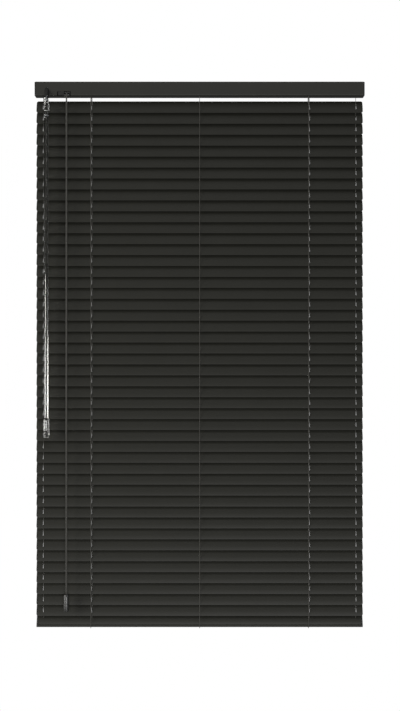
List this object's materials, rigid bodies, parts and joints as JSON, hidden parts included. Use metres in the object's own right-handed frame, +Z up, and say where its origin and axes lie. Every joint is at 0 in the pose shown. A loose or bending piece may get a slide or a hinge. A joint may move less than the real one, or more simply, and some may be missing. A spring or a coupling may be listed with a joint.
{
  "type": "venetian blind",
  "caption": "Horizontal slatted window blind with a channel headrail, tilt wand, ladder strings, lift cords with a tassel and a weighted bottom rail, shown closed.",
  "frame": {"origin": "middle of the headrail's top, where it seats in its brackets", "axes": "+X along the headrail, -Y towards the room, +Z up"},
  "size_m": [0.602, 0.0394, 0.9979],
  "materials": {
    "headrail_enamel": "matt charcoal stoved enamel on roll-formed steel",
    "slat_enamel": "matt charcoal coil-coated aluminium",
    "black_plastic": "moulded black polyoxymethylene",
    "cord": "braided polyester, warm grey",
    "tassel_plastic": "satin moulded plastic, charcoal",
    "zinc_steel": "bright zinc plate",
    "clear_acrylic": "clear extruded acrylic"
  },
  "bodies": {
    "frame": {"headrail": "headrail_enamel", "headrail_inserts": "black_plastic", "tilter_housing": "black_plastic", "cord_lock": "black_plastic", "lift_cords": "cord", "pull_cords": "cord", "cord_tassel": "tassel_plastic"},
    "tilt_rod": {"tilt_rod": "zinc_steel"},
    "slat_01": {"slat_01": "slat_enamel"},
    "slat_02": {"slat_02": "slat_enamel"},
    "slat_03": {"slat_03": "slat_enamel"},
    "slat_04": {"slat_04": "slat_enamel"},
    "slat_05": {"slat_05": "slat_enamel"},
    "slat_06": {"slat_06": "slat_enamel"},
    "slat_07": {"slat_07": "slat_enamel"},
    "slat_08": {"slat_08": "slat_enamel"},
    "slat_09": {"slat_09": "slat_enamel"},
    "slat_10": {"slat_10": "slat_enamel"},
    "slat_11": {"slat_11": "slat_enamel"},
    "slat_12": {"slat_12": "slat_enamel"},
    "slat_13": {"slat_13": "slat_enamel"},
    "slat_14": {"slat_14": "slat_enamel"},
    "slat_15": {"slat_15": "slat_enamel"},
    "slat_16": {"slat_16": "slat_enamel"},
    "slat_17": {"slat_17": "slat_enamel"},
    "slat_18": {"slat_18": "slat_enamel"},
    "slat_19": {"slat_19": "slat_enamel"},
    "slat_20": {"slat_20": "slat_enamel"},
    "slat_21": {"slat_21": "slat_enamel"},
    "slat_22": {"slat_22": "slat_enamel"},
    "slat_23": {"slat_23": "slat_enamel"},
    "slat_24": {"slat_24": "slat_enamel"},
    "slat_25": {"slat_25": "slat_enamel"},
    "slat_26": {"slat_26": "slat_enamel"},
    "slat_27": {"slat_27": "slat_enamel"},
    "slat_28": {"slat_28": "slat_enamel"},
    "slat_29": {"slat_29": "slat_enamel"},
    "slat_30": {"slat_30": "slat_enamel"},
    "slat_31": {"slat_31": "slat_enamel"},
    "slat_32": {"slat_32": "slat_enamel"},
    "slat_33": {"slat_33": "slat_enamel"},
    "slat_34": {"slat_34": "slat_enamel"},
    "slat_35": {"slat_35": "slat_enamel"},
    "slat_36": {"slat_36": "slat_enamel"},
    "slat_37": {"slat_37": "slat_enamel"},
    "slat_38": {"slat_38": "slat_enamel"},
    "slat_39": {"slat_39": "slat_enamel"},
    "slat_40": {"slat_40": "slat_enamel"},
    "slat_41": {"slat_41": "slat_enamel"},
    "slat_42": {"slat_42": "slat_enamel"},
    "slat_43": {"slat_43": "slat_enamel"},
    "slat_44": {"slat_44": "slat_enamel"},
    "slat_45": {"slat_45": "slat_enamel"},
    "slat_46": {"slat_46": "slat_enamel"},
    "slat_47": {"slat_47": "slat_enamel"},
    "bottom_rail": {"bottom_rail": "headrail_enamel"},
    "ladder_front": {"ladder_cords_front": "cord"},
    "ladder_rear": {"ladder_cords_rear": "cord"},
    "tilter_worm": {"tilter_worm": "zinc_steel"},
    "tilt_wand": {"tilt_wand": "clear_acrylic"}
  },
  "joints": [
    {"name": "tilt", "type": "hinge", "parent": "frame", "child": "tilt_rod", "pos_m": [0, 0, -0.012], "axis": [-1, 0, 0], "range_deg": [0, 132]},
    {"name": "slat_01_tilt", "type": "hinge", "parent": "frame", "child": "slat_01", "pos_m": [0, 0, -0.0442], "axis": [-1, 0, 0], "range_deg": [0, 132]},
    {"name": "slat_02_tilt", "type": "hinge", "parent": "frame", "child": "slat_02", "pos_m": [0, 0, -0.0642], "axis": [-1, 0, 0], "range_deg": [0, 132]},
    {"name": "slat_03_tilt", "type": "hinge", "parent": "frame", "child": "slat_03", "pos_m": [0, 0, -0.0842], "axis": [-1, 0, 0], "range_deg": [0, 132]},
    {"name": "slat_04_tilt", "type": "hinge", "parent": "frame", "child": "slat_04", "pos_m": [0, 0, -0.1042], "axis": [-1, 0, 0], "range_deg": [0, 132]},
    {"name": "slat_05_tilt", "type": "hinge", "parent": "frame", "child": "slat_05", "pos_m": [0, 0, -0.1242], "axis": [-1, 0, 0], "range_deg": [0, 132]},
    {"name": "slat_06_tilt", "type": "hinge", "parent": "frame", "child": "slat_06", "pos_m": [0, 0, -0.1442], "axis": [-1, 0, 0], "range_deg": [0, 132]},
    {"name": "slat_07_tilt", "type": "hinge", "parent": "frame", "child": "slat_07", "pos_m": [0, 0, -0.1642], "axis": [-1, 0, 0], "range_deg": [0, 132]},
    {"name": "slat_08_tilt", "type": "hinge", "parent": "frame", "child": "slat_08", "pos_m": [0, 0, -0.1842], "axis": [-1, 0, 0], "range_deg": [0, 132]},
    {"name": "slat_09_tilt", "type": "hinge", "parent": "frame", "child": "slat_09", "pos_m": [0, 0, -0.2042], "axis": [-1, 0, 0], "range_deg": [0, 132]},
    {"name": "slat_10_tilt", "type": "hinge", "parent": "frame", "child": "slat_10", "pos_m": [0, 0, -0.2242], "axis": [-1, 0, 0], "range_deg": [0, 132]},
    {"name": "slat_11_tilt", "type": "hinge", "parent": "frame", "child": "slat_11", "pos_m": [0, 0, -0.2442], "axis": [-1, 0, 0], "range_deg": [0, 132]},
    {"name": "slat_12_tilt", "type": "hinge", "parent": "frame", "child": "slat_12", "pos_m": [0, 0, -0.2642], "axis": [-1, 0, 0], "range_deg": [0, 132]},
    {"name": "slat_13_tilt", "type": "hinge", "parent": "frame", "child": "slat_13", "pos_m": [0, 0, -0.2842], "axis": [-1, 0, 0], "range_deg": [0, 132]},
    {"name": "slat_14_tilt", "type": "hinge", "parent": "frame", "child": "slat_14", "pos_m": [0, 0, -0.3042], "axis": [-1, 0, 0], "range_deg": [0, 132]},
    {"name": "slat_15_tilt", "type": "hinge", "parent": "frame", "child": "slat_15", "pos_m": [0, 0, -0.3242], "axis": [-1, 0, 0], "range_deg": [0, 132]},
    {"name": "slat_16_tilt", "type": "hinge", "parent": "frame", "child": "slat_16", "pos_m": [0, 0, -0.3442], "axis": [-1, 0, 0], "range_deg": [0, 132]},
    {"name": "slat_17_tilt", "type": "hinge", "parent": "frame", "child": "slat_17", "pos_m": [0, 0, -0.3642], "axis": [-1, 0, 0], "range_deg": [0, 132]},
    {"name": "slat_18_tilt", "type": "hinge", "parent": "frame", "child": "slat_18", "pos_m": [0, 0, -0.3842], "axis": [-1, 0, 0], "range_deg": [0, 132]},
    {"name": "slat_19_tilt", "type": "hinge", "parent": "frame", "child": "slat_19", "pos_m": [0, 0, -0.4042], "axis": [-1, 0, 0], "range_deg": [0, 132]},
    {"name": "slat_20_tilt", "type": "hinge", "parent": "frame", "child": "slat_20", "pos_m": [0, 0, -0.4242], "axis": [-1, 0, 0], "range_deg": [0, 132]},
    {"name": "slat_21_tilt", "type": "hinge", "parent": "frame", "child": "slat_21", "pos_m": [0, 0, -0.4442], "axis": [-1, 0, 0], "range_deg": [0, 132]},
    {"name": "slat_22_tilt", "type": "hinge", "parent": "frame", "child": "slat_22", "pos_m": [0, 0, -0.4642], "axis": [-1, 0, 0], "range_deg": [0, 132]},
    {"name": "slat_23_tilt", "type": "hinge", "parent": "frame", "child": "slat_23", "pos_m": [0, 0, -0.4842], "axis": [-1, 0, 0], "range_deg": [0, 132]},
    {"name": "slat_24_tilt", "type": "hinge", "parent": "frame", "child": "slat_24", "pos_m": [0, 0, -0.5042], "axis": [-1, 0, 0], "range_deg": [0, 132]},
    {"name": "slat_25_tilt", "type": "hinge", "parent": "frame", "child": "slat_25", "pos_m": [0, 0, -0.5242], "axis": [-1, 0, 0], "range_deg": [0, 132]},
    {"name": "slat_26_tilt", "type": "hinge", "parent": "frame", "child": "slat_26", "pos_m": [0, 0, -0.5442], "axis": [-1, 0, 0], "range_deg": [0, 132]},
    {"name": "slat_27_tilt", "type": "hinge", "parent": "frame", "child": "slat_27", "pos_m": [0, 0, -0.5642], "axis": [-1, 0, 0], "range_deg": [0, 132]},
    {"name": "slat_28_tilt", "type": "hinge", "parent": "frame", "child": "slat_28", "pos_m": [0, 0, -0.5842], "axis": [-1, 0, 0], "range_deg": [0, 132]},
    {"name": "slat_29_tilt", "type": "hinge", "parent": "frame", "child": "slat_29", "pos_m": [0, 0, -0.6042], "axis": [-1, 0, 0], "range_deg": [0, 132]},
    {"name": "slat_30_tilt", "type": "hinge", "parent": "frame", "child": "slat_30", "pos_m": [0, 0, -0.6242], "axis": [-1, 0, 0], "range_deg": [0, 132]},
    {"name": "slat_31_tilt", "type": "hinge", "parent": "frame", "child": "slat_31", "pos_m": [0, 0, -0.6442], "axis": [-1, 0, 0], "range_deg": [0, 132]},
    {"name": "slat_32_tilt", "type": "hinge", "parent": "frame", "child": "slat_32", "pos_m": [0, 0, -0.6642], "axis": [-1, 0, 0], "range_deg": [0, 132]},
    {"name": "slat_33_tilt", "type": "hinge", "parent": "frame", "child": "slat_33", "pos_m": [0, 0, -0.6842], "axis": [-1, 0, 0], "range_deg": [0, 132]},
    {"name": "slat_34_tilt", "type": "hinge", "parent": "frame", "child": "slat_34", "pos_m": [0, 0, -0.7042], "axis": [-1, 0, 0], "range_deg": [0, 132]},
    {"name": "slat_35_tilt", "type": "hinge", "parent": "frame", "child": "slat_35", "pos_m": [0, 0, -0.7242], "axis": [-1, 0, 0], "range_deg": [0, 132]},
    {"name": "slat_36_tilt", "type": "hinge", "parent": "frame", "child": "slat_36", "pos_m": [0, 0, -0.7442], "axis": [-1, 0, 0], "range_deg": [0, 132]},
    {"name": "slat_37_tilt", "type": "hinge", "parent": "frame", "child": "slat_37", "pos_m": [0, 0, -0.7642], "axis": [-1, 0, 0], "range_deg": [0, 132]},
    {"name": "slat_38_tilt", "type": "hinge", "parent": "frame", "child": "slat_38", "pos_m": [0, 0, -0.7842], "axis": [-1, 0, 0], "range_deg": [0, 132]},
    {"name": "slat_39_tilt", "type": "hinge", "parent": "frame", "child": "slat_39", "pos_m": [0, 0, -0.8042], "axis": [-1, 0, 0], "range_deg": [0, 132]},
    {"name": "slat_40_tilt", "type": "hinge", "parent": "frame", "child": "slat_40", "pos_m": [0, 0, -0.8242], "axis": [-1, 0, 0], "range_deg": [0, 132]},
    {"name": "slat_41_tilt", "type": "hinge", "parent": "frame", "child": "slat_41", "pos_m": [0, 0, -0.8442], "axis": [-1, 0, 0], "range_deg": [0, 132]},
    {"name": "slat_42_tilt", "type": "hinge", "parent": "frame", "child": "slat_42", "pos_m": [0, 0, -0.8642], "axis": [-1, 0, 0], "range_deg": [0, 132]},
    {"name": "slat_43_tilt", "type": "hinge", "parent": "frame", "child": "slat_43", "pos_m": [0, 0, -0.8842], "axis": [-1, 0, 0], "range_deg": [0, 132]},
    {"name": "slat_44_tilt", "type": "hinge", "parent": "frame", "child": "slat_44", "pos_m": [0, 0, -0.9042], "axis": [-1, 0, 0], "range_deg": [0, 132]},
    {"name": "slat_45_tilt", "type": "hinge", "parent": "frame", "child": "slat_45", "pos_m": [0, 0, -0.9242], "axis": [-1, 0, 0], "range_deg": [0, 132]},
    {"name": "slat_46_tilt", "type": "hinge", "parent": "frame", "child": "slat_46", "pos_m": [0, 0, -0.9442], "axis": [-1, 0, 0], "range_deg": [0, 132]},
    {"name": "slat_47_tilt", "type": "hinge", "parent": "frame", "child": "slat_47", "pos_m": [0, 0, -0.9642], "axis": [-1, 0, 0], "range_deg": [0, 132]},
    {"name": "bottom_rail_tilt", "type": "hinge", "parent": "frame", "child": "bottom_rail", "pos_m": [0, 0, -0.9842], "axis": [-1, 0, 0], "range_deg": [0, 132]},
    {"name": "ladder_front_shift", "type": "hinge", "parent": "tilt_rod", "child": "ladder_front", "pos_m": [0, -0.0061, -0.0257], "axis": [-1, 0, 0], "range_deg": [-132, 0]},
    {"name": "ladder_rear_shift", "type": "hinge", "parent": "tilt_rod", "child": "ladder_rear", "pos_m": [0, 0.0061, 0.0017], "axis": [-1, 0, 0], "range_deg": [-132, 0]},
    {"name": "worm_turn", "type": "hinge", "parent": "frame", "child": "tilter_worm", "pos_m": [-0.2785, -0.00662, -0.00848], "axis": [0, -0.4695, -0.8829], "range_deg": [0, 1584]},
    {"name": "wand_turn", "type": "hinge", "parent": "frame", "child": "tilt_wand", "pos_m": [-0.2785, -0.0205, -0.03458], "axis": [0, 0, -1], "range_deg": [0, 1584]}
  ],
  "couplings": [
    {"joint": "slat_01_tilt", "follows": "tilt", "ratio": 1},
    {"joint": "slat_02_tilt", "follows": "tilt", "ratio": 1},
    {"joint": "slat_03_tilt", "follows": "tilt", "ratio": 1},
    {"joint": "slat_04_tilt", "follows": "tilt", "ratio": 1},
    {"joint": "slat_05_tilt", "follows": "tilt", "ratio": 1},
    {"joint": "slat_06_tilt", "follows": "tilt", "ratio": 1},
    {"joint": "slat_07_tilt", "follows": "tilt", "ratio": 1},
    {"joint": "slat_08_tilt", "follows": "tilt", "ratio": 1},
    {"joint": "slat_09_tilt", "follows": "tilt", "ratio": 1},
    {"joint": "slat_10_tilt", "follows": "tilt", "ratio": 1},
    {"joint": "slat_11_tilt", "follows": "tilt", "ratio": 1},
    {"joint": "slat_12_tilt", "follows": "tilt", "ratio": 1},
    {"joint": "slat_13_tilt", "follows": "tilt", "ratio": 1},
    {"joint": "slat_14_tilt", "follows": "tilt", "ratio": 1},
    {"joint": "slat_15_tilt", "follows": "tilt", "ratio": 1},
    {"joint": "slat_16_tilt", "follows": "tilt", "ratio": 1},
    {"joint": "slat_17_tilt", "follows": "tilt", "ratio": 1},
    {"joint": "slat_18_tilt", "follows": "tilt", "ratio": 1},
    {"joint": "slat_19_tilt", "follows": "tilt", "ratio": 1},
    {"joint": "slat_20_tilt", "follows": "tilt", "ratio": 1},
    {"joint": "slat_21_tilt", "follows": "tilt", "ratio": 1},
    {"joint": "slat_22_tilt", "follows": "tilt", "ratio": 1},
    {"joint": "slat_23_tilt", "follows": "tilt", "ratio": 1},
    {"joint": "slat_24_tilt", "follows": "tilt", "ratio": 1},
    {"joint": "slat_25_tilt", "follows": "tilt", "ratio": 1},
    {"joint": "slat_26_tilt", "follows": "tilt", "ratio": 1},
    {"joint": "slat_27_tilt", "follows": "tilt", "ratio": 1},
    {"joint": "slat_28_tilt", "follows": "tilt", "ratio": 1},
    {"joint": "slat_29_tilt", "follows": "tilt", "ratio": 1},
    {"joint": "slat_30_tilt", "follows": "tilt", "ratio": 1},
    {"joint": "slat_31_tilt", "follows": "tilt", "ratio": 1},
    {"joint": "slat_32_tilt", "follows": "tilt", "ratio": 1},
    {"joint": "slat_33_tilt", "follows": "tilt", "ratio": 1},
    {"joint": "slat_34_tilt", "follows": "tilt", "ratio": 1},
    {"joint": "slat_35_tilt", "follows": "tilt", "ratio": 1},
    {"joint": "slat_36_tilt", "follows": "tilt", "ratio": 1},
    {"joint": "slat_37_tilt", "follows": "tilt", "ratio": 1},
    {"joint": "slat_38_tilt", "follows": "tilt", "ratio": 1},
    {"joint": "slat_39_tilt", "follows": "tilt", "ratio": 1},
    {"joint": "slat_40_tilt", "follows": "tilt", "ratio": 1},
    {"joint": "slat_41_tilt", "follows": "tilt", "ratio": 1},
    {"joint": "slat_42_tilt", "follows": "tilt", "ratio": 1},
    {"joint": "slat_43_tilt", "follows": "tilt", "ratio": 1},
    {"joint": "slat_44_tilt", "follows": "tilt", "ratio": 1},
    {"joint": "slat_45_tilt", "follows": "tilt", "ratio": 1},
    {"joint": "slat_46_tilt", "follows": "tilt", "ratio": 1},
    {"joint": "slat_47_tilt", "follows": "tilt", "ratio": 1},
    {"joint": "bottom_rail_tilt", "follows": "tilt", "ratio": 1},
    {"joint": "ladder_front_shift", "follows": "tilt", "ratio": -1},
    {"joint": "ladder_rear_shift", "follows": "tilt", "ratio": -1},
    {"joint": "worm_turn", "follows": "tilt", "ratio": 12},
    {"joint": "wand_turn", "follows": "tilt", "ratio": 12}
  ]
}
